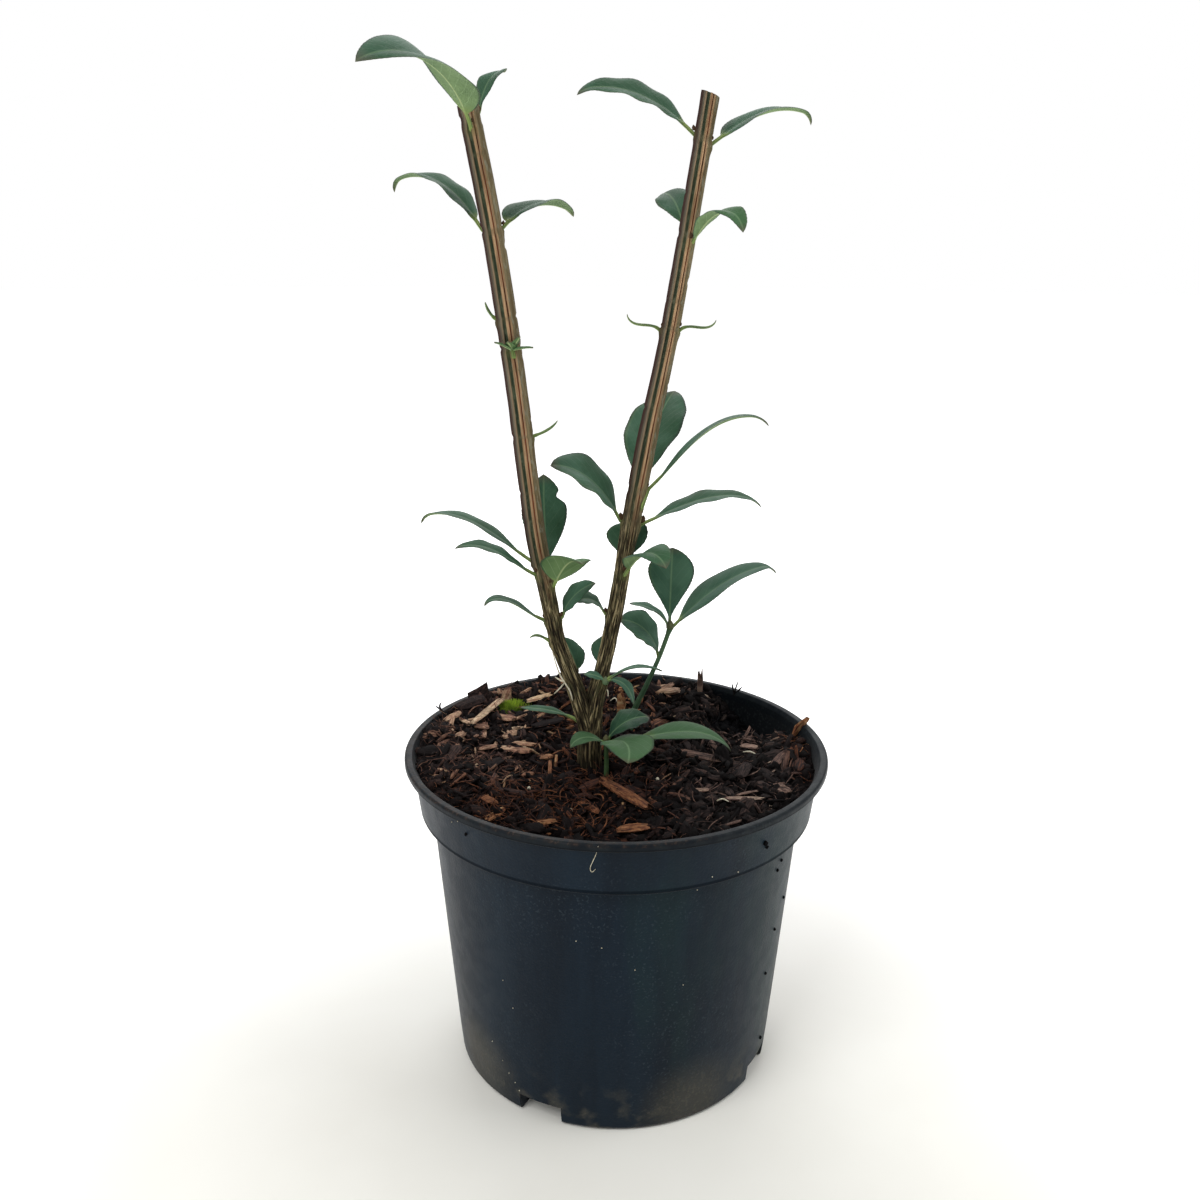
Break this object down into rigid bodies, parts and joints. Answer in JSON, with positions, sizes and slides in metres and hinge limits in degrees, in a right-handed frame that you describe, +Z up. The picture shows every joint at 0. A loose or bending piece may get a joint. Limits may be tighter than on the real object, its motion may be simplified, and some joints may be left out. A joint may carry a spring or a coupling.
{
  "type": "potted burning bush",
  "caption": "Young winged-stem shrub with green leaves, standing in bark mix in a black round nursery pot with a notched foot.",
  "frame": {"origin": "centre of the pot's underside, on the surface that it stands on", "axes": "+Z up along the pot's axis; -Y is the front, the side that the picture shows; +X is to the right from the front"},
  "size_m": [0.13, 0.13, 0.2975],
  "materials": {
    "pot_plastic": "blue-black moulded plastic, satin, with dust, lime stains and fine scuffs",
    "potting_mix": "dark moist peat and bark chips, dull",
    "stem_bark": "corky brown bark with tan ridges and grey-green grooves",
    "leaf_green": "dark blue-green leaf, slight gloss, paler underneath",
    "young_green": "green young shoot and leaves, slight gloss",
    "moss": "bright yellow-green moss, dull"
  },
  "bodies": {
    "root": {"leaf_left_01": "leaf_green", "leaf_left_02": "leaf_green", "leaf_left_03": "leaf_green", "leaf_left_04": "leaf_green", "leaf_left_05": "leaf_green", "leaf_left_06": "leaf_green", "leaf_left_07": "leaf_green", "leaf_left_08": "leaf_green", "leaf_left_09": "leaf_green", "leaf_left_10": "leaf_green", "leaf_left_11": "leaf_green", "leaf_left_12": "leaf_green", "leaf_left_13": "leaf_green", "leaf_left_14": "leaf_green", "leaf_left_15": "leaf_green", "leaf_low_narrow": "leaf_green", "leaf_right_01": "leaf_green", "leaf_right_02": "leaf_green", "leaf_right_03": "leaf_green", "leaf_right_04": "leaf_green", "leaf_right_05": "leaf_green", "leaf_right_06": "leaf_green", "leaf_right_07": "leaf_green", "leaf_right_08": "leaf_green", "leaf_right_09": "leaf_green", "leaf_right_10": "leaf_green", "leaf_right_11": "leaf_green", "leaf_right_12": "leaf_green", "leaf_right_13": "leaf_green", "leaf_right_14": "leaf_green", "moss_tuft": "moss", "pot": "pot_plastic", "potting_mix": "potting_mix", "shoot_fork": "young_green", "shoot_low": "young_green", "shoot_side": "young_green", "winged_stems": "stem_bark"}
  },
  "joints": []
}
